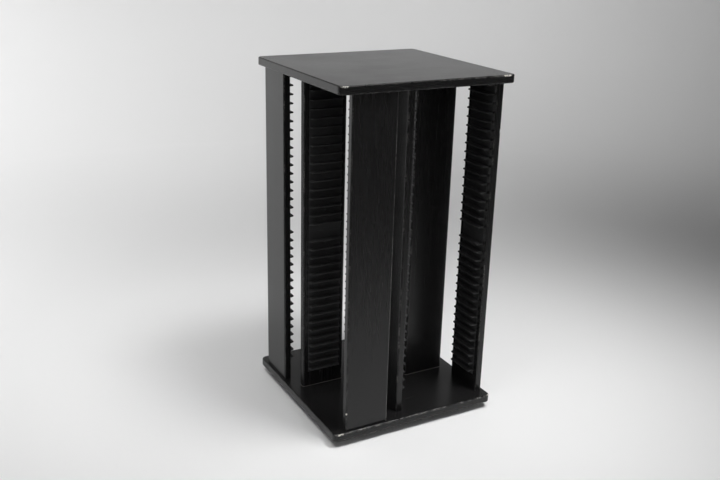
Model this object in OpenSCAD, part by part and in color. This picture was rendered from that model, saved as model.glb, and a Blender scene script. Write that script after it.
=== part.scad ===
// Revolving four-sided storage tower for compact disc cases.
// A square base board and a square top board are joined by eight upright panels in a pinwheel.
// Two panels wall each bay: an outer one near the edge of the boards and an inner one near the middle.
// Ribbed rails on their facing sides hold the cases, and a ball-bearing turntable carries the base.
// The origin is on the table at the tower's axis. +Z is up, and -Y and -X are the two sides in view.

/* [Boards] */
// Side of the square top and base boards
board_side = 300; // [290:1:340]
// Thickness of both boards
board_t = 13; // [12:0.5:22]
// Radius of the upright corners of both boards
board_corner_r = 9; // [2:0.5:20]
// Bevel along the arrises of both boards
board_arris = 0.8; // [0.2:0.1:1.8]

/* [Bays] */
// Clear width between the two panels of a bay, for a case 142 mm wide
bay_w = 147; // [144:0.5:152]
// Distance from one rib to the next up a rail, for a case 10.4 mm thick
rib_pitch = 14.5; // [13:0.25:18]
// Number of ribs on one rail
ribs_per_rail = 17; // [6:1:24]
// Bare height of the panels below the lower rails
bare_below = 27.25; // [15:0.25:80]

/* [Panels] */
// Depth of a panel, from the edge at the bay's mouth to the edge inside
panel_w = 75; // [70:1:84]
// Thickness of a panel
panel_t = 12; // [11:0.5:16]
// Distance from the edge of the boards back to the front edge of the panels
panel_setback = 22; // [10:0.5:30]
// Distance from the edge of the boards in to the plain side of an outer panel
panel_inset = 5; // [1:0.5:12]
// Bevel along the upright arrises of the panels
panel_arris = 0.6; // [0.2:0.1:1.2]

/* [Rails] */
// Depth of a rail along its panel
rail_w = 59; // [40:1:62]
// Distance from the panel's front edge back to the rail
rail_setback = 9; // [4:0.5:14]
// Depth of the groove in the panel that the rails lie in
rail_groove = 2; // [1:0.25:2.5]
// Thickness of a rail's backing strip
strip_t = 2; // [1.75:0.25:3.5]
// Bevel along both long edges of the strip
strip_bevel = 0.8; // [0.2:0.1:1.5]
// Reach of a rib from the panel to its tip
rib_reach = 10; // [6:0.5:12]
// Thickness of a rib
rib_t = 2.5; // [1.5:0.25:4]
// Length over which a rib tapers up at the bay's mouth
rib_taper_front = 2; // [1:0.5:12]
// Length over which a rib tapers down at its inner end
rib_taper_rear = 4; // [1:0.5:14]
// Gap between the upper rail's top end and the top board
rail_end_gap = 0.25; // [0.1:0.05:1]

/* [Fasteners] */
// Diameter of the dowels in the top joints
dowel_d = 6; // [5:0.5:7]
// Length of a dowel
dowel_l = 28; // [20:1:32]
// Depth that a dowel enters the top board
dowel_in_board = 9; // [6:0.5:11]
// Distance of dowels and panel screws from the panel's two upright edges
joint_inset = 15; // [10:0.5:20]
// Shank diameter of the panel screws
panel_screw_d = 4; // [3:0.25:5]
// Length of a panel screw
panel_screw_l = 40; // [30:1:60]
// Head diameter of a panel screw
panel_screw_head_d = 8; // [6.5:0.25:9.5]
// Shank diameter of the rail screws
rail_screw_d = 3; // [2.5:0.25:3.5]
// Length of a rail screw
rail_screw_l = 8; // [6:0.5:10]
// Head diameter of a rail screw
rail_screw_head_d = 5.5; // [4.5:0.25:6]
// Shank diameter of the turntable screws
disc_screw_d = 4; // [3:0.25:4.5]
// Length of a turntable screw
disc_screw_l = 12; // [9:0.5:14]
// Head diameter of a turntable screw
disc_screw_head_d = 7.5; // [6.5:0.25:8.5]
// Depth of a screw head below the face it is driven through
head_sunk = 0.3; // [0.1:0.1:0.6]

/* [Turntable] */
// Diameter of both turntable discs
disc_d = 230; // [220:1:270]
// Thickness of a disc
disc_t = 3; // [2.6:0.1:5]
// Height of the gap between the discs
disc_gap = 3.5; // [2.8:0.1:4]
// Radius of the circle that the balls run on
race_r = 84; // [60:1:88]
// Diameter of a bearing ball
ball_d = 5; // [4.4:0.1:5.5]
// Number of bearing balls
ball_count = 16; // [6:1:24]
// Running clearance between a ball and its race
race_clear = 0.05; // [0.02:0.01:0.1]
// Clearance between a ball and its pocket in the cage
pocket_clear = 0.1; // [0.05:0.05:0.3]
// Thickness of the ball cage
cage_t = 1.6; // [1:0.1:2.2]
// Width of the ring of the ball cage
cage_w = 12; // [9:0.5:18]
// Distance from the disc's rim in to the circle of the turntable screws
disc_screw_inset = 15; // [11:0.5:19]
// Number of turntable screws
disc_screw_count = 4; // [3:1:8]
// Diameter of the hole in the lower disc that a screwdriver passes through
access_hole_d = 12; // [9:0.5:14]

/* [Centre rivet] */
// Diameter of the rivet's shank
rivet_d = 10; // [6:0.5:14]
// Running clearance between the shank and the upper disc's bore
rivet_clear = 0.05; // [0.02:0.01:0.1]
// Diameter of the flat head under the lower disc
rivet_foot_d = 18; // [17:0.5:24]
// Thickness of the flat head under the lower disc
rivet_foot_t = 1.2; // [0.8:0.1:1.8]
// Diameter of the head formed over the washer
rivet_head_d = 15; // [14.5:0.5:20]
// Thickness of the head formed over the washer
rivet_head_t = 1.8; // [1:0.1:2.5]
// Outer diameter of the washer
washer_d = 22; // [21:0.5:26]
// Thickness of the washer
washer_t = 1; // [0.8:0.1:1.5]
// Play between the washer and the upper disc
washer_play = 0.2; // [0.1:0.05:0.4]
// Clearance around the washer and the head in the base board's recess
recess_clear = 2; // [1:0.25:3]

/* [Feet] */
// Number of rubber feet
foot_count = 6; // [4:1:10]
// Diameter of a rubber foot
foot_d = 16; // [10:0.5:18]
// Height by which a foot stands proud of the lower disc
foot_proud = 1.5; // [1:0.1:4]
// Depth of the socket in the disc that holds a foot
foot_socket = 1; // [0.6:0.1:1.5]
// Distance from the disc's rim in to the circle of the feet's centres
foot_inset = 14; // [11:0.5:16]

/* [Hidden] */
$fn = 72;

SIDES = ["left", "front", "right", "back"];
WALLS = ["outer", "inner"];
LEVELS = ["upper", "lower"];

// Heights of the stack, from the table up. Ribs keep half a pitch from a rail's outer end,
// and a full pitch from the end where the upper and lower rails meet.
lower_disc_z = foot_proud;
disc_gap_z = lower_disc_z + disc_t;
ball_z = disc_gap_z + disc_gap / 2;
upper_disc_z = disc_gap_z + disc_gap;
base_z = upper_disc_z + disc_t;
panel_z = base_z + board_t;
rail_end_margin = rib_pitch / 2;
rail_meet_margin = rib_pitch;
rail_l = rail_end_margin + (ribs_per_rail - 1) * rib_pitch + rail_meet_margin;
panel_h = bare_below + 2 * rail_l + rail_end_gap;
top_z = panel_z + panel_h;
rail_top_z = top_z - rail_end_gap;

// Places of the panels that wall the left bay; the other bays are turned copies of it
edge = board_side / 2;
panel_x = panel_setback - edge;
outer_face_y = panel_inset + panel_t - edge;
inner_face_y = outer_face_y + bay_w;
joint_xs = [panel_x + joint_inset, panel_x + panel_w - joint_inset];

// The slots of a rail, counted from its lowest, that have a screw in the strip behind them
screw_slots = [1, floor(ribs_per_rail / 2), ribs_per_rail - 2];

dowel_tip = 1;
hole_spare = 0.5;
screw_tip_ratio = 1.2;
slot_w_ratio = 0.14;
slot_l_ratio = 0.56;
slot_depth_ratio = 0.7;
cut = 0.01;
foot_r = disc_d / 2 - foot_inset;
disc_screw_r = disc_d / 2 - disc_screw_inset;
rivet_neck_top_z = base_z + washer_play + washer_t;
recess_d = max(washer_d, rivet_head_d) + 2 * recess_clear;
recess_h = washer_play + washer_t + rivet_head_t + recess_clear;

board_colour = [0.13, 0.12, 0.11];
panel_colour = [0.10, 0.09, 0.085];
rail_colour = [0.05, 0.05, 0.055];
disc_colour = [0.18, 0.18, 0.19];
steel_colour = [0.68, 0.69, 0.71];
zinc_colour = [0.58, 0.57, 0.52];
black_steel_colour = [0.12, 0.12, 0.12];
beech_colour = [0.80, 0.64, 0.44];
rubber_colour = [0.08, 0.08, 0.08];

function side_angle(side) = 90 * search([side], SIDES)[0];
function around(count, i) = 360 * i / count;

// Section of a board or panel with its four arrises bevelled, its lower side on the x axis
function bevelled(w, t, bevel) = [
    [bevel - w / 2, 0],
    [w / 2 - bevel, 0],
    [w / 2, bevel],
    [w / 2, t - bevel],
    [w / 2 - bevel, t],
    [bevel - w / 2, t],
    [-w / 2, t - bevel],
    [-w / 2, bevel]
];

// Square board with round corners, its arrises bevelled all round
module board_blank() {
    straight = board_side - 2 * board_corner_r;
    round_corner = [
        [0, 0],
        [board_corner_r - board_arris, 0],
        [board_corner_r, board_arris],
        [board_corner_r, board_t - board_arris],
        [board_corner_r - board_arris, board_t],
        [0, board_t]
    ];
    for (turn = [0, 90])
        rotate([90, 0, turn])
            linear_extrude(straight, center = true)
                polygon(bevelled(board_side, board_t, board_arris));
    for (sx = [-1, 1], sy = [-1, 1])
        translate([sx * straight / 2, sy * straight / 2, 0])
            rotate_extrude()
                polygon(round_corner);
}

// Height of a countersunk head with its 90 degree cone
function head_h(d, head_d) = (head_d - d) / 2;

// Countersunk screw, its head's face at the origin and its point up
module wood_screw(d, l, head_d) {
    tip = d * screw_tip_ratio;
    slot_w = head_d * slot_w_ratio;
    slot_l = head_d * slot_l_ratio;
    difference() {
        union() {
            cylinder(h = head_h(d, head_d), d1 = head_d, d2 = d);
            cylinder(h = l - tip, d = d);
            translate([0, 0, l - tip])
                cylinder(h = tip, d1 = d, d2 = d / 5);
        }
        for (turn = [0, 90])
            rotate(turn)
                translate([-slot_l / 2, -slot_w / 2, -cut])
                    cube([slot_l, slot_w, head_h(d, head_d) * slot_depth_ratio + cut]);
    }
}

// The space that a countersunk screw takes, from the face it is driven through
module screw_hole(d, l, head_d) {
    translate([0, 0, -cut])
        cylinder(h = head_sunk + cut, d = head_d);
    translate([0, 0, head_sunk]) {
        cylinder(h = head_h(d, head_d), d1 = head_d, d2 = d);
        cylinder(h = l + hole_spare, d = d);
    }
}

// Wooden dowel standing on the origin, both ends eased
module dowel() {
    cylinder(h = dowel_tip, d1 = dowel_d - dowel_tip, d2 = dowel_d);
    translate([0, 0, dowel_tip])
        cylinder(h = dowel_l - 2 * dowel_tip, d = dowel_d);
    translate([0, 0, dowel_l - dowel_tip])
        cylinder(h = dowel_tip, d1 = dowel_d, d2 = dowel_d - dowel_tip);
}

// Puts its child at the two joints of each of the eight panels, on the panels' middle planes
module at_panel_joints(z) {
    for (side = SIDES)
        rotate(side_angle(side))
            for (x = joint_xs, y = [outer_face_y - panel_t / 2, inner_face_y + panel_t / 2])
                translate([x, y, z])
                    children();
}

module at_disc_screws(z) {
    for (i = [0:disc_screw_count - 1])
        rotate(45 + around(disc_screw_count, i))
            translate([disc_screw_r, 0, z])
                children();
}

module top_board() {
    color(board_colour)
        difference() {
            translate([0, 0, top_z])
                board_blank();
            at_panel_joints(top_z - cut)
                cylinder(h = dowel_in_board + hole_spare + cut, d = dowel_d);
        }
}

module base_board() {
    color(board_colour)
        difference() {
            translate([0, 0, base_z])
                board_blank();
            at_panel_joints(base_z)
                screw_hole(panel_screw_d, panel_screw_l, panel_screw_head_d);
            at_disc_screws(upper_disc_z)
                cylinder(h = disc_screw_l + head_sunk + hole_spare, d = disc_screw_d);
            translate([0, 0, base_z - cut])
                cylinder(h = recess_h + cut, d = recess_d);
        }
}

// A panel of the left bay, its lower edge on the base board, with its dowel and screw holes
module panel(y) {
    difference() {
        translate([panel_x + panel_w / 2, y, panel_z])
            linear_extrude(panel_h)
                polygon(bevelled(panel_w, panel_t, panel_arris));
        for (x = joint_xs)
            translate([x, y + panel_t / 2, 0]) {
                translate([0, 0, panel_z - cut])
                    cylinder(h = panel_screw_l + head_sunk + hole_spare - board_t + cut, d = panel_screw_d);
                translate([0, 0, top_z + dowel_in_board - dowel_l - hole_spare])
                    cylinder(h = dowel_l, d = dowel_d);
            }
    }
}

// The outer panel named for the side of the tower that it covers
module outer_panel(side) {
    color(panel_colour)
        rotate(side_angle(side) - side_angle("front"))
            difference() {
                panel(outer_face_y - panel_t);
                rail_seat("outer");
            }
}

// The inner panel named for the side that its bay opens to
module inner_panel(side) {
    color(panel_colour)
        rotate(side_angle(side))
            difference() {
                panel(inner_face_y);
                rail_seat("inner");
            }
}

// Turns a shape drawn along +X on a groove's floor, reaching out along +Y, onto one wall of the left bay
module on_wall(wall) {
    floor_y = wall == "outer" ? outer_face_y - rail_groove : inner_face_y + rail_groove;
    translate([panel_x + rail_setback, floor_y, 0])
        mirror([0, wall == "outer" ? 0 : 1, 0])
            children();
}

function rail_z(level) = rail_top_z - (level == "upper" ? 1 : 2) * rail_l;
function rib_zs(level) = [
    for (i = [0:ribs_per_rail - 1])
        rail_z(level) + (level == "upper" ? rail_meet_margin : rail_end_margin) + i * rib_pitch
];
function rail_screw_zs(level) = [for (slot = screw_slots) rib_zs(level)[slot] + rib_pitch / 2];

// Puts its child at the screws of one rail, on the strip's face and pointing into the panel
module at_rail_screws(level) {
    for (z = rail_screw_zs(level))
        translate([rail_w / 2, strip_t, z])
            rotate([90, 0, 0])
                children();
}

// The groove in a panel for its two rails, open at the top, with their pilot holes
module rail_seat(wall) {
    on_wall(wall) {
        translate([0, 0, rail_z("lower")])
            cube([rail_w, rail_groove + cut, top_z + cut - rail_z("lower")]);
        for (level = LEVELS)
            at_rail_screws(level)
                cylinder(h = head_sunk + rail_screw_l + hole_spare, d = rail_screw_d);
    }
}

// One moulded rail: a backing strip let into the panel, with a comb of ribs tapered at both ends
module rail(wall, level) {
    rib_tip = rail_groove + rib_reach;
    strip = [
        [0, 0],
        [rail_w, 0],
        [rail_w, strip_t - strip_bevel],
        [rail_w - strip_bevel, strip_t],
        [strip_bevel, strip_t],
        [0, strip_t - strip_bevel]
    ];
    rib = [
        [strip_bevel, 0],
        [rail_w - strip_bevel, 0],
        [rail_w - strip_bevel, strip_t],
        [rail_w - rib_taper_rear, rib_tip],
        [rib_taper_front, rib_tip],
        [strip_bevel, strip_t]
    ];
    on_wall(wall)
        difference() {
            union() {
                translate([0, 0, rail_z(level)])
                    linear_extrude(rail_l)
                        polygon(strip);
                for (z = rib_zs(level))
                    translate([0, 0, z - rib_t / 2])
                        linear_extrude(rib_t)
                            polygon(rib);
            }
            at_rail_screws(level)
                screw_hole(rail_screw_d, rail_screw_l, rail_screw_head_d);
        }
}

module bay_rail(side, wall, level) {
    color(rail_colour)
        rotate(side_angle(side))
            rail(wall, level);
}

module top_dowels() {
    color(beech_colour)
        at_panel_joints(top_z + dowel_in_board - dowel_l)
            dowel();
}

module panel_screws() {
    color(zinc_colour)
        at_panel_joints(base_z + head_sunk)
            wood_screw(panel_screw_d, panel_screw_l, panel_screw_head_d);
}

module rail_screws() {
    color(black_steel_colour)
        for (side = SIDES, wall = WALLS, level = LEVELS)
            rotate(side_angle(side))
                on_wall(wall)
                    at_rail_screws(level)
                        translate([0, 0, head_sunk])
                            wood_screw(rail_screw_d, rail_screw_l, rail_screw_head_d);
}

module turntable_screws() {
    color(zinc_colour)
        at_disc_screws(upper_disc_z + head_sunk)
            wood_screw(disc_screw_d, disc_screw_l, disc_screw_head_d);
}

// The groove that the balls run in, as a ring of round section
module race() {
    translate([0, 0, ball_z])
        rotate_extrude()
            translate([race_r, 0])
                circle(ball_d / 2 + race_clear);
}

module turntable_upper_disc() {
    color(disc_colour)
        difference() {
            translate([0, 0, upper_disc_z])
                cylinder(h = disc_t, d = disc_d);
            race();
            at_disc_screws(upper_disc_z)
                screw_hole(disc_screw_d, disc_screw_l, disc_screw_head_d);
            translate([0, 0, upper_disc_z - cut])
                cylinder(h = disc_t + 2 * cut, r = rivet_d / 2 + rivet_clear);
        }
}

module turntable_lower_disc() {
    color(disc_colour)
        difference() {
            translate([0, 0, lower_disc_z])
                cylinder(h = disc_t, d = disc_d);
            race();
            translate([disc_screw_r, 0, lower_disc_z - cut])
                cylinder(h = disc_t + 2 * cut, d = access_hole_d);
            translate([0, 0, lower_disc_z - cut])
                cylinder(h = disc_t + 2 * cut, d = rivet_d);
            translate([0, 0, lower_disc_z - cut])
                cylinder(h = rivet_foot_t + cut, d = rivet_foot_d);
            at_feet(lower_disc_z - cut)
                cylinder(h = foot_socket + cut, d = foot_d);
        }
}

module at_balls() {
    for (i = [0:ball_count - 1])
        rotate(around(ball_count, i))
            translate([race_r, 0, ball_z])
                children();
}

module ball_cage() {
    color(rail_colour)
        difference() {
            translate([0, 0, ball_z - cage_t / 2])
                difference() {
                    cylinder(h = cage_t, r = race_r + cage_w / 2);
                    translate([0, 0, -cut])
                        cylinder(h = cage_t + 2 * cut, r = race_r - cage_w / 2);
                }
            at_balls()
                cylinder(h = cage_t + 2 * cut, r = ball_d / 2 + pocket_clear, center = true);
        }
}

module bearing_balls() {
    color(steel_colour)
        at_balls()
            sphere(d = ball_d);
}

module centre_rivet() {
    color(steel_colour) {
        translate([0, 0, lower_disc_z])
            cylinder(h = rivet_foot_t, d = rivet_foot_d);
        translate([0, 0, lower_disc_z])
            cylinder(h = rivet_neck_top_z - lower_disc_z, d = rivet_d);
        translate([0, 0, rivet_neck_top_z])
            cylinder(h = rivet_head_t, d = rivet_head_d);
    }
}

module rivet_washer() {
    color(steel_colour)
        translate([0, 0, base_z + washer_play])
            difference() {
                cylinder(h = washer_t, d = washer_d);
                translate([0, 0, -cut])
                    cylinder(h = washer_t + 2 * cut, d = rivet_d);
            }
}

module at_feet(z) {
    for (i = [0:foot_count - 1])
        rotate(around(foot_count, i + 0.5))
            translate([foot_r, 0, z])
                children();
}

module rubber_feet() {
    color(rubber_colour)
        at_feet(0)
            cylinder(h = foot_proud + foot_socket, d = foot_d);
}

top_board();
base_board();
for (side = SIDES) {
    outer_panel(side);
    inner_panel(side);
    for (wall = WALLS, level = LEVELS)
        bay_rail(side, wall, level);
}
top_dowels();
panel_screws();
rail_screws();
turntable_upper_disc();
turntable_screws();
ball_cage();
bearing_balls();
turntable_lower_disc();
centre_rivet();
rivet_washer();
rubber_feet();
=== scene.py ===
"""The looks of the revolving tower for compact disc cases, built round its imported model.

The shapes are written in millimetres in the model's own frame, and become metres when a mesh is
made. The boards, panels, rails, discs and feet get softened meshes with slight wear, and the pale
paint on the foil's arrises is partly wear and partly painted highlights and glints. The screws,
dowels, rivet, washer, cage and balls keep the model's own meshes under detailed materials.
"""

import math

import bmesh
import bpy
from mathutils import Matrix, Vector, noise


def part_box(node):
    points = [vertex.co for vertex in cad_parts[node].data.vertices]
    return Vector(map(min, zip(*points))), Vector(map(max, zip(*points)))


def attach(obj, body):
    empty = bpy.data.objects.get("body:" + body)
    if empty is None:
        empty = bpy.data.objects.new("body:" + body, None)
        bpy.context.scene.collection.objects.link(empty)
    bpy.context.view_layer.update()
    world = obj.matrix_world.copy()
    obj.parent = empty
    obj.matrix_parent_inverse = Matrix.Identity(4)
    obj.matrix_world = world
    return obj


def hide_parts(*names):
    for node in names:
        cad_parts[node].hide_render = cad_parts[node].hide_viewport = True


MM = 0.001
UP, DOWN = (0, 0, 1), (0, 0, -1)
SIDES = ("left", "front", "right", "back")
WALLS = ("outer", "inner")
LEVELS = ("upper", "lower")

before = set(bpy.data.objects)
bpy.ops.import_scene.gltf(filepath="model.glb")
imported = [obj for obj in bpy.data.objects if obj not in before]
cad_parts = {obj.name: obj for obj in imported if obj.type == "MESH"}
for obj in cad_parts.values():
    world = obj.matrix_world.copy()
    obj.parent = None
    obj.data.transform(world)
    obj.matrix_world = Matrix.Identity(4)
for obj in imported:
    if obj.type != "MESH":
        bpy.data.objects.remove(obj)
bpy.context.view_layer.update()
scene = bpy.context.scene


def node_box(node):
    """Lowest and highest corner of a node, in millimetres, rounded to a micrometre."""
    return [Vector([round(value / MM, 3) for value in corner]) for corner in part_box(node)]


# Camera, light and floor, in metres

# The view that was fitted to the photograph, with its angles in degrees
CAMERA_PLACE = (-0.70923, -1.22900, 0.78604)
CAMERA_YAW, CAMERA_DOWN, CAMERA_ROLL = 61.106, 19.682, 1.4753
CAMERA_LENS, CAMERA_SENSOR = 44.74, 36.0

# Name, place, target, width and depth, watts, and spread in degrees. Four lamps make pools of
# light on the table, two wash the wall behind it, and a soft one stands by the camera.
LAMPS = (
    ("over_front", (0.5, -0.6, 1.9), (0.15, -0.1, 0.0), (0.8, 0.8), 3.5, 50),
    ("over_left", (-0.9, 0.6, 1.9), (-0.9, 0.6, 0.0), (1.0, 1.0), 3.4, 60),
    ("over_near", (-0.9, -0.3, 1.9), (-0.35, 0.05, 0.0), (0.8, 0.8), 1.0, 50),
    ("over_back", (0.5, 1.2, 1.9), (0.3, 1.0, 0.0), (1.2, 0.8), 1.5, 60),
    ("wall_back", (0.9, 1.3, 2.6), (1.3, 2.35, 0.7), (1.8, 0.6), 13.0, 100),
    ("wall_left", (-0.9, 1.1, 2.6), (-1.5, 2.2, 0.7), (1.8, 0.6), 27.0, 100),
    ("by_camera", (-0.9, -1.7, 1.2), (0.0, 0.0, 0.3), (0.8, 0.8), 4.8, 180),
)
FILL_GREY = 0.05

# The floor's flat radius, the radius that it sweeps up with, and the wall's height
FLOOR_FLAT, FLOOR_SWEEP, FLOOR_TOP = 1.9, 0.8, 2.3
FLOOR_SIDES, SWEEP_STEPS = 96, 12
# The heights between which the wall darkens, so that the glossy boards don't mirror a bright one
DARK_FROM, DARK_TO = 1.15, 1.45
FLOOR_COLOUR, WALL_COLOUR = (0.80, 0.80, 0.80), (0.10, 0.10, 0.10)


def add_camera():
    """The photograph's view, from the corner between the front and the left side."""
    data = bpy.data.cameras.new("camera")
    data.lens, data.sensor_width = CAMERA_LENS, CAMERA_SENSOR
    yaw, down, roll = (math.radians(a) for a in (CAMERA_YAW, CAMERA_DOWN, CAMERA_ROLL))
    turn = (Matrix.Rotation(yaw - math.pi / 2, 4, "Z")
            @ Matrix.Rotation(math.pi / 2 - down, 4, "X")
            @ Matrix.Rotation(roll, 4, "Z"))
    camera = bpy.data.objects.new("camera", data)
    camera.matrix_world = Matrix.Translation(CAMERA_PLACE) @ turn
    scene.collection.objects.link(camera)
    scene.camera = camera


def add_lamp(name, place, target, size, watts, spread):
    """A soft rectangular lamp that faces its target and that the camera doesn't see."""
    data = bpy.data.lights.new(name, "AREA")
    data.shape, data.energy, data.spread = "RECTANGLE", watts, math.radians(spread)
    data.size, data.size_y = size
    lamp = bpy.data.objects.new(name, data)
    lamp.location = place
    lamp.rotation_mode = "QUATERNION"
    lamp.rotation_quaternion = (Vector(target) - Vector(place)).to_track_quat("-Z", "Y")
    lamp.visible_camera = False
    scene.collection.objects.link(lamp)


def add_lights():
    """The lamps, and a world that fills their shadows a little."""
    for lamp in LAMPS:
        add_lamp(*lamp)
    world = bpy.data.worlds.new("studio")
    world.use_nodes = True
    background = world.node_tree.nodes["Background"]
    background.inputs["Color"].default_value = (FILL_GREY, FILL_GREY, FILL_GREY, 1.0)
    scene.world = world


def add_floor():
    """A round pale floor that sweeps up into a wall, which darkens above the camera's height."""
    bends = [math.pi / 2 * i / SWEEP_STEPS for i in range(SWEEP_STEPS + 1)]
    profile = [(FLOOR_FLAT + FLOOR_SWEEP * math.sin(a), FLOOR_SWEEP * (1 - math.cos(a)))
               for a in bends] + [(FLOOR_FLAT + FLOOR_SWEEP, FLOOR_TOP)]
    angles = [2 * math.pi * i / FLOOR_SIDES for i in range(FLOOR_SIDES)]
    corners = [(radius * math.cos(a), radius * math.sin(a), height)
               for radius, height in profile for a in angles]
    faces = [list(range(FLOOR_SIDES))]
    for r in range(len(profile) - 1):
        low, high = r * FLOOR_SIDES, (r + 1) * FLOOR_SIDES
        for i in range(FLOOR_SIDES):
            j = (i + 1) % FLOOR_SIDES
            faces.append([high + i, high + j, low + j, low + i])
    mesh = bpy.data.meshes.new("floor")
    mesh.from_pydata(corners, [], faces)
    mesh.shade_smooth()
    mesh.polygons[0].use_smooth = False
    floor = bpy.data.objects.new("floor", mesh)
    paint = Paint("floor", specular=0.2)
    height = paint.add("ShaderNodeSeparateXYZ")
    paint.join(paint.place, height.inputs["Vector"])
    dark = paint.ramp(height.outputs["Z"], DARK_FROM, DARK_TO)
    colour = paint.blend(dark, FLOOR_COLOUR, WALL_COLOUR)
    mesh.materials.append(paint.finish(colour, roughness=0.7))
    scene.collection.objects.link(floor)


# Materials: noise scales count features to the metre, and bump distances are in metres

class Paint:
    """One material's node tree, with short ways to add nodes to it."""

    def __init__(self, name, metallic=0.0, specular=0.5):
        self.material = bpy.data.materials.new(name)
        self.material.use_nodes = True
        self.nodes = self.material.node_tree.nodes
        self.shader = self.nodes["Principled BSDF"]
        self.shader.inputs["Metallic"].default_value = metallic
        self.shader.inputs["Specular IOR Level"].default_value = specular
        self.place = self.add("ShaderNodeTexCoord").outputs["Object"]

    def add(self, kind, **settings):
        """A new node of a kind, with its settings."""
        node = self.nodes.new(kind)
        for key, value in settings.items():
            setattr(node, key, value)
        return node

    def join(self, source, socket):
        """Links an output to a socket."""
        self.material.node_tree.links.new(source, socket)

    def put(self, socket, value):
        """Links an output to a socket, or sets the socket to a constant."""
        if isinstance(value, bpy.types.NodeSocket):
            self.join(value, socket)
        else:
            socket.default_value = value

    def stretched(self, scale):
        """The object's coordinates in metres, scaled along each axis."""
        node = self.add("ShaderNodeMapping")
        node.inputs["Scale"].default_value = scale
        self.join(self.place, node.inputs["Vector"])
        return node.outputs["Vector"]

    def drawn_out(self, axis, along, across):
        """The object's coordinates with one scale along an axis and another across it."""
        return self.stretched([along if each == axis else across for each in "xyz"])

    def noise(self, scale, detail=4.0, rough=0.55, where=None, warp=0.0):
        """Smooth noise from 0 to 1 over the object, or over other coordinates."""
        node = self.add("ShaderNodeTexNoise")
        self.join(where or self.place, node.inputs["Vector"])
        node.inputs["Scale"].default_value = scale
        node.inputs["Detail"].default_value = detail
        node.inputs["Roughness"].default_value = rough
        node.inputs["Distortion"].default_value = warp
        return node.outputs["Fac"]

    def cells(self, scale, where):
        """Distance to the nearest of a field of scattered points."""
        node = self.add("ShaderNodeTexVoronoi")
        self.join(where, node.inputs["Vector"])
        node.inputs["Scale"].default_value = scale
        return node.outputs["Distance"]

    def ramp(self, value, low, high, to=(0.0, 1.0)):
        """A value between low and high, spread smoothly over another range."""
        node = self.add("ShaderNodeMapRange", interpolation_type="SMOOTHSTEP")
        self.put(node.inputs["Value"], value)
        limits = {"From Min": low, "From Max": high, "To Min": to[0], "To Max": to[1]}
        for key, number in limits.items():
            node.inputs[key].default_value = number
        return node.outputs["Result"]

    def calculate(self, kind, a, b):
        """The result of a sum on two values, each an output or a constant."""
        node = self.add("ShaderNodeMath", operation=kind)
        self.put(node.inputs[0], a)
        self.put(node.inputs[1], b)
        return node.outputs["Value"]

    def sum(self, a, b):
        """a + b"""
        return self.calculate("ADD", a, b)

    def product(self, a, b):
        """a times b"""
        return self.calculate("MULTIPLY", a, b)

    def blend(self, mask, a, b):
        """Colour a where the mask is 0 and b where it is 1."""
        node = self.add("ShaderNodeMix", data_type="RGBA")
        self.put(node.inputs["Factor"], mask)
        sockets = [s for s in node.inputs if s.type == "RGBA"]
        for socket, colour in zip(sockets, (a, b)):
            linked = isinstance(colour, bpy.types.NodeSocket)
            self.put(socket, colour if linked else (*colour, 1.0))
        return next(s for s in node.outputs if s.type == "RGBA")

    def attribute(self, name):
        """A number that the mesh holds at each of its points."""
        return self.add("ShaderNodeAttribute", attribute_name=name).outputs["Fac"]

    def bump(self, height, distance, strength):
        """Makes the surface look as if it rose and fell with a height."""
        node = self.add("ShaderNodeBump")
        node.inputs["Distance"].default_value = distance
        node.inputs["Strength"].default_value = strength
        self.join(height, node.inputs["Height"])
        self.join(node.outputs["Normal"], self.shader.inputs["Normal"])

    def finish(self, colour, roughness):
        """The material, with its last two sockets filled."""
        self.put(self.shader.inputs["Base Color"], colour)
        self.put(self.shader.inputs["Roughness"], roughness)
        return self.material


# The foil's grain; the foil where it is rubbed, a pale that is partly wear and partly a painted
# highlight on the arrises; and the bare board under it, which in some chips is a painted glint
FOIL_DARK, FOIL_LIGHT = (0.0098, 0.0096, 0.0098), (0.0118, 0.0115, 0.0115)
FOIL_WEAR_AND_HIGHLIGHT, BARE_BOARD_AND_GLINT = (0.150, 0.146, 0.140), (0.66, 0.63, 0.58)


def foil(name, axis):
    """Black foil, its wood grain along an axis, its arrises pale with wear and painted highlights.
    """
    paint = Paint(name, specular=0.35)
    wide = paint.drawn_out(axis, along=9, across=260)
    fine = paint.drawn_out(axis, along=60, across=1700)
    streaks = paint.noise(1.0, detail=5.0, rough=0.6, where=wide, warp=0.4)
    fibres = paint.noise(1.0, detail=3.0, rough=0.6, where=fine)
    pores = paint.ramp(paint.cells(0.55, fine), 0.05, 0.22)
    smudges = paint.noise(7.0, detail=3.0, rough=0.6)
    patches = paint.ramp(paint.noise(420.0, detail=3.0), 0.35, 0.6)
    colour = paint.blend(paint.ramp(streaks, 0.35, 0.68), FOIL_DARK, FOIL_LIGHT)
    # Pale on the rubbed arrises: partly wear, partly a painted highlight and glint along them
    colour = paint.blend(paint.product(paint.attribute("wear_and_highlight"), patches), colour, FOIL_WEAR_AND_HIGHLIGHT)
    # Bare board in chips, some of which are painted glints, and a pale line along some panels' feet
    colour = paint.blend(paint.attribute("pale_mark"), colour, BARE_BOARD_AND_GLINT)
    rough = paint.sum(paint.ramp(streaks, 0.3, 0.7, to=(0.235, 0.25)),
                      paint.ramp(smudges, 0.35, 0.7, to=(0.0, 0.025)))
    height = paint.sum(paint.sum(streaks, paint.product(fibres, 0.35)), paint.product(pores, 0.6))
    paint.bump(height, distance=0.00006, strength=0.22)
    return paint.finish(colour, rough)


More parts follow.
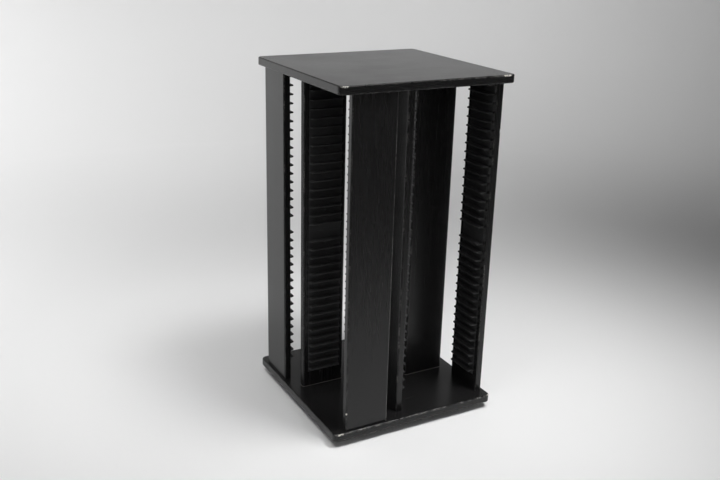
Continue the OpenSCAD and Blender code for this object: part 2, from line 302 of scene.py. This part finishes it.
def moulded(name, dark, light, rough, specular=0.5):
    """Black moulded plastic with a fine spark-eroded skin."""
    paint = Paint(name, specular=specular)
    skin = paint.noise(900.0, rough=0.6)
    flow = paint.noise(22.0, detail=3.0, rough=0.5, warp=0.6)
    paint.bump(skin, distance=0.00004, strength=0.5)
    return paint.finish(paint.blend(paint.ramp(flow, 0.35, 0.7), dark, light),
                        paint.sum(paint.ramp(skin, 0.3, 0.7, to=(rough - 0.04, rough + 0.04)),
                                  paint.ramp(flow, 0.3, 0.7, to=(0.0, 0.06))))


def metal(name, dark, light, rough, spread):
    """Metal of slightly uneven colour, with handling marks and a fine skin."""
    paint = Paint(name, metallic=1.0)
    marks = paint.noise(140.0, rough=0.6)
    skin = paint.noise(2600.0, detail=3.0, rough=0.6)
    paint.bump(paint.sum(skin, paint.product(marks, 0.5)), distance=0.00002, strength=0.6)
    return paint.finish(paint.blend(paint.ramp(marks, 0.35, 0.68), dark, light),
                        paint.ramp(marks, 0.3, 0.7, to=(rough - spread, rough + spread)))


def beech():
    """Plain beech, its grain along the upright dowels, with short darker flecks."""
    paint = Paint("beech", specular=0.3)
    fibres = paint.noise(1.0, rough=0.6, where=paint.stretched((900, 900, 60)))
    flecks = paint.ramp(paint.cells(1.0, paint.stretched((700, 700, 220))), 0.05, 0.25)
    wood = paint.blend(paint.ramp(fibres, 0.35, 0.68), (0.46, 0.29, 0.155), (0.62, 0.44, 0.26))
    paint.bump(paint.sum(fibres, flecks), distance=0.00005, strength=0.5)
    return paint.finish(paint.blend(flecks, (0.36, 0.21, 0.11), wood),
                        paint.ramp(fibres, 0.3, 0.7, to=(0.52, 0.66)))


def rubber():
    """Black rubber, dusty in patches, with a fine matt skin."""
    paint = Paint("rubber", specular=0.3)
    skin = paint.noise(2600.0, detail=3.0, rough=0.6)
    dust = paint.ramp(paint.noise(90.0, rough=0.6), 0.45, 0.7)
    paint.bump(skin, distance=0.00005, strength=0.6)
    return paint.finish(paint.blend(dust, (0.012, 0.012, 0.012), (0.030, 0.029, 0.028)),
                        paint.ramp(skin, 0.3, 0.7, to=(0.72, 0.86)))


def add_materials():
    """Every material of the model, by the name that the pieces ask for."""
    return {
        "foil_flat": foil("foil_flat", "x"),
        "foil_upright": foil("foil_upright", "z"),
        "rail_plastic": moulded("rail_plastic", (0.026, 0.026, 0.0265), (0.034, 0.034, 0.0345),
                                rough=0.68, specular=0.35),
        "disc_plastic": moulded("disc_plastic", (0.018, 0.018, 0.019), (0.028, 0.028, 0.029),
                                rough=0.45),
        "cage_plastic": moulded("cage_plastic", (0.085, 0.085, 0.090), (0.115, 0.115, 0.120),
                                rough=0.42),
        "bright_steel": metal("bright_steel", (0.52, 0.52, 0.53), (0.64, 0.64, 0.65),
                              rough=0.24, spread=0.06),
        "zinc_steel": metal("zinc_steel", (0.46, 0.45, 0.41), (0.60, 0.59, 0.55),
                            rough=0.36, spread=0.08),
        "black_steel": metal("black_steel", (0.050, 0.050, 0.051), (0.070, 0.070, 0.072),
                             rough=0.50, spread=0.06),
        "beech": beech(),
        "rubber": rubber(),
    }


# Ways to make a mesh

MERGE_M = 1e-7
SHARP_ANGLE = math.radians(38)
ARRIS_STEPS = 4
ARRIS_ANGLES = [math.pi / 2 * i / ARRIS_STEPS for i in range(ARRIS_STEPS + 1)]


def lofted(name, rings, marks=None):
    """A closed mesh through rings of points in millimetres, capped at both ends.

    The marks give each point a number to each attribute, which the foil's paint reads.
    """
    bm = bmesh.new()
    layers = {key: bm.verts.layers.float.new(key) for key in ("wear_and_highlight", "pale_mark")}
    rows = []
    for r, ring in enumerate(rings):
        row = []
        for i, point in enumerate(ring):
            vert = bm.verts.new(Vector(point) * MM)
            for key, layer in layers.items():
                vert[layer] = marks[key][r][i] if marks else 0.0
            row.append(vert)
        rows.append(row)
    count = len(rows[0])
    for low, high in zip(rows, rows[1:]):
        for i in range(count):
            j = (i + 1) % count
            bm.faces.new((low[i], low[j], high[j], high[i]))
    bm.faces.new(rows[0][::-1])
    bm.faces.new(rows[-1])
    bmesh.ops.remove_doubles(bm, verts=bm.verts, dist=MERGE_M)
    bmesh.ops.recalc_face_normals(bm, faces=bm.faces)
    mesh = bpy.data.meshes.new(name)
    bm.to_mesh(mesh)
    bm.free()
    return mesh


def lathe(profile, place=(0, 0, 0), axis=UP, count=32):
    """A turned shape: pairs of radius and height along an axis, standing on a place."""
    turn = Vector(UP).rotation_difference(Vector(axis))
    rings = []
    for radius, height in profile:
        ring = []
        for i in range(count):
            a = 2 * math.pi * i / count
            point = Vector((radius * math.cos(a), radius * math.sin(a), height))
            ring.append(Vector(place) + turn @ point)
        rings.append(ring)
    return lofted("turned", rings)


def joined(meshes):
    """Several meshes as one."""
    bm = bmesh.new()
    for each in meshes:
        bm.from_mesh(each)
    mesh = bpy.data.meshes.new("joined")
    bm.to_mesh(mesh)
    bm.free()
    return mesh


def drilled(mesh, cutters):
    """The mesh with the cutters taken out of it."""
    tool = bpy.data.objects.new("cutters", joined(cutters))
    work = bpy.data.objects.new("work", mesh)
    for each in (tool, work):
        scene.collection.objects.link(each)
    cut = work.modifiers.new("cut", "BOOLEAN")
    cut.operation, cut.solver, cut.object = "DIFFERENCE", "EXACT", tool
    whole = work.evaluated_get(bpy.context.evaluated_depsgraph_get())
    result = bpy.data.meshes.new_from_object(whole)
    for each in (tool, work):
        bpy.data.objects.remove(each)
    return result


def ring_of(count, radius, first, height):
    """Points spaced evenly round the axis, from a first angle in degrees."""
    angles = [math.radians(first + 360.0 * i / count) for i in range(count)]
    return [(radius * math.cos(a), radius * math.sin(a), height) for a in angles]


def turned(point, quarter):
    """A point of the left bay, turned onto another side's bay."""
    x, y, z = point
    for _ in range(quarter):
        x, y = -y, x
    return Vector((x, y, z))


def piece(name, mesh, material, body, node):
    """Puts a finished mesh in the scene as a piece that rides on a body and stands for a node."""
    mesh.shade_smooth()
    mesh.set_sharp_from_angle(angle=SHARP_ANGLE)
    mesh.materials.append(material)
    made = bpy.data.objects.new(name, mesh)
    scene.collection.objects.link(made)
    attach(made, body)
    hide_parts(node)


# Sizes of the model, in millimetres

# The boards: half their side, and the height of their upper faces
EDGE = node_box("top_board")[1].x
BASE_TOP, TOP = (node_box(node)[1].z for node in ("base_board", "top_board"))

# The walls of the left bay: their front edge, the faces that look at each other, and their joints
outer_low, outer_high = node_box("outer_panel_front")
PANEL_X, PANEL_W, PANEL_T = outer_low.x, outer_high.x - outer_low.x, outer_high.y - outer_low.y
OUTER_FACE_Y, INNER_FACE_Y = outer_high.y, node_box("inner_panel_left")[0].y
JOINT_INSET = 15.0
JOINT_XS = (PANEL_X + JOINT_INSET, PANEL_X + PANEL_W - JOINT_INSET)
JOINT_YS = {"outer": OUTER_FACE_Y - PANEL_T / 2, "inner": INNER_FACE_Y + PANEL_T / 2}

# The rails, half a pitch longer than a pitch for each rib, and the slots with a screw, from below
rail_low, rail_high = node_box("rail_left_outer_lower")
RAIL_X, RAIL_W, SEAT_Z = rail_low.x, rail_high.x - rail_low.x, rail_low.z
GROOVE, RIB_REACH, STRIP_T = OUTER_FACE_Y - rail_low.y, rail_high.y - OUTER_FACE_Y, 2.0
RIBS = 17
RIB_PITCH = (rail_high.z - rail_low.z) / (RIBS + 0.5)
SCREW_SLOTS = (1, 8, 15)

# The turntable: the discs' radius, the circles of the balls, feet and screws, and a flat middle
DISC_R = node_box("turntable_upper_disc")[1].x
RACE_R, FOOT_R, DISC_SCREW_R, DISC_MIDDLE_R = 84.0, DISC_R - 14.0, DISC_R - 15.0, 14.0
FOOT_COUNT, FOOT_FIRST = 6, 30
DISC_SCREW_COUNT, DISC_SCREW_FIRST = 4, 45
DISC_SIDES, RECESS_SIDES = 160, 64
# Half of the groove that the balls run in, out from the circle of their centres: radius and depth
RACE = ((1.86, 0.0), (1.30, 0.45), (0.60, 0.73), (0.0, 0.80))

# Holes, as pairs of radius and depth, each of which starts outside its face for a clean cut
DOWEL_HOLE_IN_BOARD = ((3.0, -1.0), (3.0, 9.5))
DOWEL_HOLE_IN_PANEL = ((3.0, -1.0), (3.0, 19.5))
PANEL_SCREW_HOLE = ((4.0, -0.5), (4.0, 0.3), (2.0, 2.3), (2.0, 14.0))
PANEL_SCREW_PILOT = ((2.0, -1.0), (2.0, 27.8))
RAIL_SCREW_HOLE = ((2.75, -0.5), (2.75, 0.3), (1.5, 1.55), (1.5, 2.5))
RAIL_SCREW_PILOT = ((1.5, -0.5), (1.5, 6.8))
DISC_SCREW_HOLE = ((3.75, -0.5), (3.75, 0.3), (2.0, 2.05), (2.0, 4.0))
DISC_SCREW_PILOT = ((2.0, -1.0), (2.0, 9.8))
ACCESS_HOLE = ((6.0, -1.0), (6.0, 4.0))
FOOT_SOCKET = ((8.0, -1.0), (8.0, 1.0))
RIVET_HOLE = ((5.0, -1.0), (5.0, 4.0))
RIVET_FOOT_SINK = ((9.0, -1.0), (9.0, 1.2))
RIVET_BORE = ((5.05, -1.0), (5.05, 4.0))
RIVET_RECESS = ((13.0, -1.0), (13.0, 5.0))


def joints(profile, z):
    """Cutters that go up from a height at the two joints of every panel."""
    return [lathe(profile, turned((x, y, z), quarter))
            for quarter in range(4) for x in JOINT_XS for y in JOINT_YS.values()]


def on_wall(wall, u, v, w):
    """A point given along a wall of the left bay, out from its groove's floor, and up."""
    y = OUTER_FACE_Y - GROOVE + v if wall == "outer" else INNER_FACE_Y + GROOVE - v
    return (RAIL_X + u, y, w)


def into_wall(wall, quarter):
    """The direction from a bay into one of its walls."""
    return turned((0, -1 if wall == "outer" else 1, 0), quarter)


def rib_heights(level):
    """Heights of the middle of each rib on an upper or a lower rail."""
    low = node_box(f"rail_left_outer_{level}")[0].z
    first = low + (RIB_PITCH if level == "upper" else RIB_PITCH / 2)
    return [first + RIB_PITCH * i for i in range(RIBS)]


def rail_screw_heights(level):
    """Heights of the screws that hold an upper or a lower rail."""
    return [rib_heights(level)[slot] + RIB_PITCH / 2 for slot in SCREW_SLOTS]


# Wear, and highlights and glints painted on the arrises

# How far back a board's arris still counts as its front one
FRONT_Y = 2.0 - EDGE
# Places where the arris is chipped to the bare board, each with its reach. The pale chips on the
# boards' front corners, and along the top board's front right, are partly painted glints
CHIPS_AND_GLINTS = {
    "base_board": [((-141.0, -EDGE, BASE_TOP), 3.4), ((-135.5, -EDGE, BASE_TOP), 2.6),
                   ((146.0, FRONT_Y, BASE_TOP), 2.4)],
    "top_board": [((-146.5, FRONT_Y, TOP), 2.8), ((-143.0, -EDGE, TOP), 3.2),
                  ((-139.5, -EDGE, TOP), 2.6), ((128.5, -EDGE, TOP), 2.2),
                  ((131.5, -EDGE, TOP), 2.4), ((134.5, -EDGE, TOP), 2.6),
                  ((137.5, -EDGE, TOP), 2.4)],
    "outer_panel_front": [((PANEL_X, outer_low.y, 54.0), 2.8)],
    "outer_panel_right": [((-outer_low.y, PANEL_X, 480.0), 4.0)],
}
CHIP_DEPTH, CHIP_BARENESS = 1.2, 2.5
# A panel's extra levels on each side of a chip, and their spacing
CHIP_LEVELS, CHIP_STEP = 8, 0.5
# Panels painted with a pale line along their foot
PALE_FEET = ("inner_panel_left", "inner_panel_right")
PALE_HEIGHT, PALE_END, PALE_TONE = 0.7, 1.0, 0.22
# The panel whose outer arris, beside the front bay's opening, is rubbed along its whole height; the
# pale there is a painted highlight, the sheen of light from the front right
HIGHLIGHT_LINE_PANEL = "outer_panel_front"
# How far rubbing takes an arris back, and how much of that shows in a board's height
BOARD_RUB, PANEL_RUB, RUB_FALL = 0.14, 0.1, 0.8
# How worn a board's arrises are along its sides and back, and underneath, and a panel's are
SIDE_WEAR, UNDER_WEAR, PANEL_WEAR = 0.35, 0.3, 0.45
# How worn the top board's front arris is at its left, and from where on it is worn more; the pale
# there is partly wear and partly a painted highlight, which grows toward the right
LEFT_WEAR_AND_HIGHLIGHT, WEAR_AND_HIGHLIGHT_FROM_X = 0.25, -20.0


def speck(point, period, low, high, seed):
    """Smooth seeded noise at a point in millimetres, spread from 0 at low to 1 at high."""
    value = noise.noise(Vector(point) / period + Vector((seed, 2.7 * seed, -seed)))
    return min(max((value - low) / (high - low), 0.0), 1.0)


def chipped(spot, chips):
    """How deep the nearest chip has bitten at a point: 0 for not at all."""
    depth = 0.0
    for place, reach in chips:
        away = (spot - Vector(place)).length / reach
        if away < 1.0:
            ragged = speck(spot, period=1.7, low=-0.35, high=0.2, seed=8.0)
            depth = max(depth, (1.0 - away) * ragged)
    return depth


def bareness(chip):
    """How much of the board under the foil shows in a chip of a depth."""
    return min(chip * CHIP_BARENESS, 1.0)


def board_wear_and_highlight(node, spot):
    """Wear and painted highlight on a board's upper arris at a point: most along the front."""
    if spot.y > FRONT_Y:
        return SIDE_WEAR
    if node == "base_board":
        return 1.0
    # The top board's front arris: wear and a painted highlight, both growing toward the right
    along = max(spot.x - WEAR_AND_HIGHLIGHT_FROM_X, 0.0)
    return LEFT_WEAR_AND_HIGHLIGHT + (1.0 - LEFT_WEAR_AND_HIGHLIGHT) * along / (EDGE - WEAR_AND_HIGHLIGHT_FROM_X)


def panel_wear_and_highlight(node, spot, beside_opening):
    """Wear on a panel's arris at a point, with a painted highlight along one of them."""
    rub_and_highlight = speck(spot, period=14.0, low=-0.05, high=0.5, seed=5.0) * PANEL_WEAR
    # A painted highlight: the pale line down the outer arris beside the front bay's opening
    if node == HIGHLIGHT_LINE_PANEL and beside_opening:
        rub_and_highlight = max(rub_and_highlight, speck(spot, period=30.0, low=-0.9, high=0.1, seed=6.0))
    return rub_and_highlight


# Boards and panels

BOARD_ARRIS, BOARD_HOLD, BOARD_CORNER = 1.6, 1.2, 9.0
OUTLINE_STEP, CORNER_STEPS = 2.0, 12
PANEL_ARRIS, PANEL_HOLD, PANEL_STEP = 2.5, 1.0, 4.0


def arris_turns(radius, thick, hold):
    """Insets and heights up an edge with two round arrises, with a level on each side of them."""
    low = [(radius * (1 - math.sin(a)), radius * (1 - math.cos(a))) for a in ARRIS_ANGLES]
    levels = [(radius + hold, 0.0)] + low + [(0.0, radius + hold)]
    return levels + [(inset, thick - height) for inset, height in reversed(levels)]


def square_outline(half, corner):
    """Points round a square with round corners, and the outward direction at each."""
    straight = half - corner
    count = max(int(2 * straight / OUTLINE_STEP), 1)
    points = []
    for quarter in range(4):
        turn = Matrix.Rotation(math.pi / 2 * quarter, 2)
        for i in range(count):
            along = -straight + 2 * straight * i / count
            points.append((turn @ Vector((half, along)), turn @ Vector((1, 0))))
        for i in range(CORNER_STEPS):
            a = math.pi / 2 * i / CORNER_STEPS
            way = Vector((math.cos(a), math.sin(a)))
            points.append((turn @ (Vector((straight, straight)) + way * corner), turn @ way))
    return points


def board(node):
    """A square board with round corners and soft, slightly uneven arrises.

    Its arrises are pale here and there, partly with wear and partly with painted highlights.
    """
    low, high = node_box(node)
    thick = high.z - low.z
    outline = square_outline((high.x - low.x) / 2, BOARD_CORNER)
    rings, marks = [], {"wear_and_highlight": [], "pale_mark": []}
    for inset, height in arris_turns(BOARD_ARRIS, thick, BOARD_HOLD):
        ring, wear_and_highlight, pale_mark = [], [], []
        on_arris = inset < BOARD_ARRIS and min(height, thick - height) < BOARD_ARRIS
        upper = height > thick / 2
        for point, way in outline:
            spot = Vector((*point, low.z + height))
            rub_and_highlight = chip = 0.0
            # The rub shapes the arris and sets its pale paint: wear, and painted highlights along
            # the front
            if on_arris:
                rub_and_highlight = speck(spot, period=7.0, low=-0.3, high=0.3, seed=3.0)
                rub_and_highlight *= board_wear_and_highlight(node, spot) if upper else UNDER_WEAR
                chip = chipped(spot, CHIPS_AND_GLINTS.get(node, ()))
            extra = BOARD_RUB * rub_and_highlight + CHIP_DEPTH * chip
            spot.x -= way.x * (inset + extra)
            spot.y -= way.y * (inset + extra)
            spot.z += (-extra if upper else extra) * RUB_FALL
            ring.append(spot)
            wear_and_highlight.append(rub_and_highlight)
            pale_mark.append(bareness(chip))
        rings.append(ring)
        marks["wear_and_highlight"].append(wear_and_highlight)
        marks["pale_mark"].append(pale_mark)
    return lofted(node, rings, marks)


def base_cutters():
    """Holes for the panel screws, pilots for the disc's screws, and the recess over the rivet."""
    z = node_box("base_board")[0].z
    screws = ring_of(DISC_SCREW_COUNT, DISC_SCREW_R, DISC_SCREW_FIRST, z)
    pilots = [lathe(DISC_SCREW_PILOT, place) for place in screws]
    recess = lathe(RIVET_RECESS, (0, 0, z), count=RECESS_SIDES)
    return joints(PANEL_SCREW_HOLE, z) + pilots + [recess]


def panel_section(depth):
    """Points round a panel, from its plain side to its grooved side, marked on the arrises."""
    radius, reach = PANEL_ARRIS, PANEL_ARRIS + PANEL_HOLD
    arc = [(radius * (1 - math.cos(a)), radius * (1 - math.sin(a)), 0.0 < a < math.pi / 2)
           for a in ARRIS_ANGLES]
    first = [(0.0, reach, False)] + arc + [(reach, 0.0, False)]
    second = [(PANEL_W - u, v, mark) for u, v, mark in reversed(first)]
    third = [(u, PANEL_T - v, mark) for u, v, mark in reversed(second)]
    fourth = [(u, PANEL_T - v, mark) for u, v, mark in reversed(first)]
    near, far = RAIL_X - PANEL_X, RAIL_X - PANEL_X + RAIL_W
    seat = [(far, PANEL_T, False), (far, PANEL_T - depth, False),
            (near, PANEL_T - depth, False), (near, PANEL_T, False)]
    return first + second + third + seat + fourth


def panel_levels(low, high, chips):
    """Heights at which a panel gets a ring of points, with the depth of its groove at each."""
    levels = {low.z + PANEL_STEP * i for i in range(int((high.z - low.z) / PANEL_STEP) + 1)}
    levels |= {high.z, low.z + PALE_HEIGHT, low.z + PALE_END}
    near = range(-CHIP_LEVELS, CHIP_LEVELS + 1)
    levels |= {place[2] + CHIP_STEP * i for place, _ in chips for i in near}
    steps = [(z, GROOVE if z > SEAT_Z else 0.0) for z in levels]
    return sorted(steps + [(SEAT_Z, 0.0), (SEAT_Z, GROOVE)])


def panel_cutters(wall, quarter, low, high):
    """Pilots for the screws from below and from the rails, and the holes of the dowels."""
    cutters = []
    for x in JOINT_XS:
        y = JOINT_YS[wall]
        cutters.append(lathe(PANEL_SCREW_PILOT, turned((x, y, low.z), quarter)))
        cutters.append(lathe(DOWEL_HOLE_IN_PANEL, turned((x, y, high.z), quarter), DOWN))
    for level in LEVELS:
        for z in rail_screw_heights(level):
            place = turned(on_wall(wall, RAIL_W / 2, 0.0, z), quarter)
            cutters.append(lathe(RAIL_SCREW_PILOT, place, into_wall(wall, quarter)))
    return cutters


def panel(node, wall, quarter):
    """An upright panel with soft arrises, grooved for its rails and drilled for its fasteners."""
    low, high = node_box(node)
    chips = CHIPS_AND_GLINTS.get(node, ())
    rings, marks = [], {"wear_and_highlight": [], "pale_mark": []}
    for z, depth in panel_levels(low, high, chips):
        ring, wear_and_highlight, pale_mark = [], [], []
        pale = PALE_TONE if node in PALE_FEET and z <= low.z + PALE_HEIGHT else 0.0
        for u, v, on_arris in panel_section(depth):
            outer = wall == "outer"
            y = OUTER_FACE_Y - PANEL_T + v if outer else INNER_FACE_Y + PANEL_T - v
            spot = turned((PANEL_X + u, y, z), quarter)
            rub_and_highlight = chip = 0.0
            if on_arris:
                # The rub shapes the arris and sets its pale paint, which on one panel is a painted
                # highlight
                rub_and_highlight = panel_wear_and_highlight(node, spot, u > PANEL_W / 2 and v < PANEL_T / 2)
                chip = chipped(spot, chips)
                middle_y = y + (PANEL_T / 2 - v) * (1 if outer else -1)
                inward = turned((PANEL_X + PANEL_W / 2, middle_y, z), quarter) - spot
                spot += inward.normalized() * (PANEL_RUB * rub_and_highlight + CHIP_DEPTH * chip)
            ring.append(spot)
            wear_and_highlight.append(rub_and_highlight)
            pale_mark.append(max(bareness(chip), pale))
        rings.append(ring)
        marks["wear_and_highlight"].append(wear_and_highlight)
        marks["pale_mark"].append(pale_mark)
    return drilled(lofted(node, rings, marks), panel_cutters(wall, quarter, low, high))


# Rails

# A rib's half thickness at its root and tip, its root's fillet, its soft tip, and the strip's edges
RIB_ROOT, RIB_TIP, RIB_FILLET, RIB_SOFT, STRIP_EASE = 1.25, 1.12, 0.35, 0.4, 0.25
# A bend's middle point, as a share of its radius; then the lengths past a root and along a rib's
# side that hold the bends in shape, and the draft on the side's two
BEND, ROOT_HOLD, SIDE_HOLD, ROOT_DRAFT, TIP_DRAFT = 0.3, 0.5, 0.8, 0.02, 0.01

# How the ribs rise from the bay's mouth, and from their inner end: distance in from the rail's end,
# and share of a rib's reach
FRONT_RISE = ((0.8, 0.0), (1.1, 0.25), (1.4, 0.5), (1.7, 0.75), (1.88, 0.86), (2.1, 0.93),
              (2.45, 0.975), (3.0, 1.0), (4.2, 1.0))
REAR_RISE = ((0.8, 0.0), (1.5, 0.21), (2.2, 0.43), (3.0, 0.68), (3.6, 0.86), (3.9, 0.93),
             (4.25, 0.975), (4.8, 1.0), (6.0, 1.0))
# The height of the strip's bevelled ends above the groove's floor
STRIP_END = 1.2


def rail_stations():
    """Along a rail: distance from its front end, the strip's height, and share of a rib's reach."""
    front = [(u, STRIP_T, share) for u, share in FRONT_RISE]
    rear = [(RAIL_W - u, STRIP_T, share) for u, share in reversed(REAR_RISE)]
    return [(0.0, STRIP_END, 0.0), *front, *rear, (RAIL_W, STRIP_END, 0.0)]


def comb(level, face):
    """Outline of a rail's side: down its back, and up its face over every rib."""
    low, high = node_box(f"rail_left_outer_{level}")
    half = [(RIB_ROOT + RIB_FILLET + ROOT_HOLD, 0.0),
            (RIB_ROOT + RIB_FILLET, 0.0),
            (RIB_ROOT + BEND * RIB_FILLET, BEND * RIB_FILLET),
            (RIB_ROOT, RIB_FILLET),
            (RIB_ROOT - ROOT_DRAFT, RIB_FILLET + SIDE_HOLD),
            (RIB_TIP + TIP_DRAFT, RIB_REACH - RIB_SOFT - SIDE_HOLD),
            (RIB_TIP, RIB_REACH - RIB_SOFT),
            (RIB_TIP - BEND * RIB_SOFT, RIB_REACH - BEND * RIB_SOFT),
            (RIB_TIP - RIB_SOFT, RIB_REACH)]
    line = [(high.z, 0.0), (low.z, 0.0), (low.z, face - STRIP_EASE), (low.z + STRIP_EASE, face)]
    for centre in rib_heights(level):
        line += [(centre - across, face + out) for across, out in half]
        line += [(centre + across, face + out) for across, out in reversed(half)]
    return line + [(high.z - STRIP_EASE, face), (high.z, face - STRIP_EASE)]


def rail(wall, level, quarter):
    """A moulded rail whose ribs have draft, a filleted root, a soft tip and rounded ends."""
    rings = []
    for u, face, share in rail_stations():
        heights = [(w, face + (v - face) * share if v > face else v) for w, v in comb(level, face)]
        rings.append([turned(on_wall(wall, u, v, w), quarter) for w, v in heights])
    cutters = [lathe(RAIL_SCREW_HOLE, turned(on_wall(wall, RAIL_W / 2, STRIP_T, z), quarter),
                     into_wall(wall, quarter))
               for z in rail_screw_heights(level)]
    return drilled(lofted("rail", rings), cutters)


# Turntable and feet

RIM_SOFT, RIM_HOLD = 0.8, 1.0
# The shallow ring moulded in the lower disc's underside: radius and depth
MOULDED_RING = ((52.0, 0.0), (52.5, 0.4), (63.5, 0.4), (64.0, 0.0))
# A foot from its dished sole to its side: radius and height
SOLE = ((4.2, 0.35), (5.0, 0.28), (5.6, 0.08), (6.2, 0.0), (7.1, 0.0), (7.6, 0.14),
        (7.88, 0.42), (8.0, 0.85))


def race(face, way):
    """Points over the race in a disc's face, from its inner side out; way is +1 for a cut up."""
    inner = [(RACE_R - off, face + way * depth) for off, depth in RACE]
    return inner + [(RACE_R + off, face + way * depth) for off, depth in reversed(RACE[:-1])]


def rim(bottom, top):
    """Points round a disc's softened rim, from its lower face to its upper face."""
    turn = [(RIM_SOFT * (1 - math.cos(a)), RIM_SOFT * (1 - math.sin(a))) for a in ARRIS_ANGLES]
    lower = [(DISC_R - RIM_SOFT - RIM_HOLD, bottom)]
    lower += [(DISC_R - u, bottom + v) for u, v in reversed(turn)]
    return lower + [(r, bottom + top - z) for r, z in reversed(lower)]


def lower_disc():
    """The moulded disc that stands still on the feet."""
    low, high = node_box("turntable_lower_disc")
    underside = [(radius, low.z + depth) for radius, depth in ((DISC_MIDDLE_R, 0.0), *MOULDED_RING)]
    profile = underside + rim(low.z, high.z) + race(high.z, -1)[::-1]
    profile.append((DISC_MIDDLE_R, high.z))
    middle = (0, 0, low.z)
    cutters = [lathe(RIVET_HOLE, middle), lathe(RIVET_FOOT_SINK, middle),
               lathe(ACCESS_HOLE, (DISC_SCREW_R, 0, low.z))]
    cutters += [lathe(FOOT_SOCKET, place)
                for place in ring_of(FOOT_COUNT, FOOT_R, FOOT_FIRST, low.z)]
    return drilled(lathe(profile, count=DISC_SIDES), cutters)


def upper_disc():
    """The moulded disc screwed under the base board."""
    low, high = node_box("turntable_upper_disc")
    profile = [(DISC_MIDDLE_R, low.z)] + race(low.z, 1) + rim(low.z, high.z)
    profile.append((DISC_MIDDLE_R, high.z))
    cutters = [lathe(RIVET_BORE, (0, 0, low.z))]
    cutters += [lathe(DISC_SCREW_HOLE, place)
                for place in ring_of(DISC_SCREW_COUNT, DISC_SCREW_R, DISC_SCREW_FIRST, low.z)]
    return drilled(lathe(profile, count=DISC_SIDES), cutters)


def feet():
    """Rubber feet with a soft edge and a dished sole."""
    side = (SOLE[-1][0], node_box("rubber_feet")[1].z)
    places = ring_of(FOOT_COUNT, FOOT_R, FOOT_FIRST, 0.0)
    return joined([lathe((*SOLE, side), place) for place in places])


# The scene

# Nodes that keep the model's own meshes, and their materials
CARRIED = {
    "top_dowels": "beech", "panel_screws": "zinc_steel", "turntable_screws": "zinc_steel",
    "rail_screws": "black_steel", "ball_cage": "cage_plastic", "bearing_balls": "bright_steel",
    "centre_rivet": "bright_steel", "rivet_washer": "bright_steel",
}


def add_walls(foil_paint, rail_paint):
    """The panels, and the rails on both walls of each bay.

    A bay's outer wall is the outer panel that covers the next side round.
    """
    for quarter, side in enumerate(SIDES):
        covered = SIDES[(quarter + 1) % 4]
        panels = {"outer": f"outer_panel_{covered}", "inner": f"inner_panel_{side}"}
        for wall in WALLS:
            node = panels[wall]
            piece(f"{node}_foil", panel(node, wall, quarter), foil_paint, "tower",
                  node)
            for level in LEVELS:
                node = f"rail_{side}_{wall}_{level}"
                piece(f"{node}_comb", rail(wall, level, quarter), rail_paint,
                      "tower", node)


def add_boards(paint):
    """The top board and the base board."""
    top_z = node_box("top_board")[0].z
    top = drilled(board("top_board"), joints(DOWEL_HOLE_IN_BOARD, top_z))
    piece("top_board_foil", top, paint, "tower", "top_board")
    base = drilled(board("base_board"), base_cutters())
    piece("base_board_foil", base, paint, "tower", "base_board")


def add_turntable(disc_paint, foot_paint):
    """The two discs and the feet."""
    piece("upper_disc_moulding", upper_disc(), disc_paint, "tower",
          "turntable_upper_disc")
    piece("lower_disc_moulding", lower_disc(), disc_paint, "foot",
          "turntable_lower_disc")
    piece("feet_pads", feet(), foot_paint, "foot", "rubber_feet")


add_camera()
add_lights()
add_floor()
paints = add_materials()
for node, name in CARRIED.items():
    for material_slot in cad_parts[node].material_slots:
        material_slot.material = paints[name]
add_walls(paints["foil_upright"], paints["rail_plastic"])
add_boards(paints["foil_flat"])
add_turntable(paints["disc_plastic"], paints["rubber"])

scene.view_settings.view_transform = "Standard"
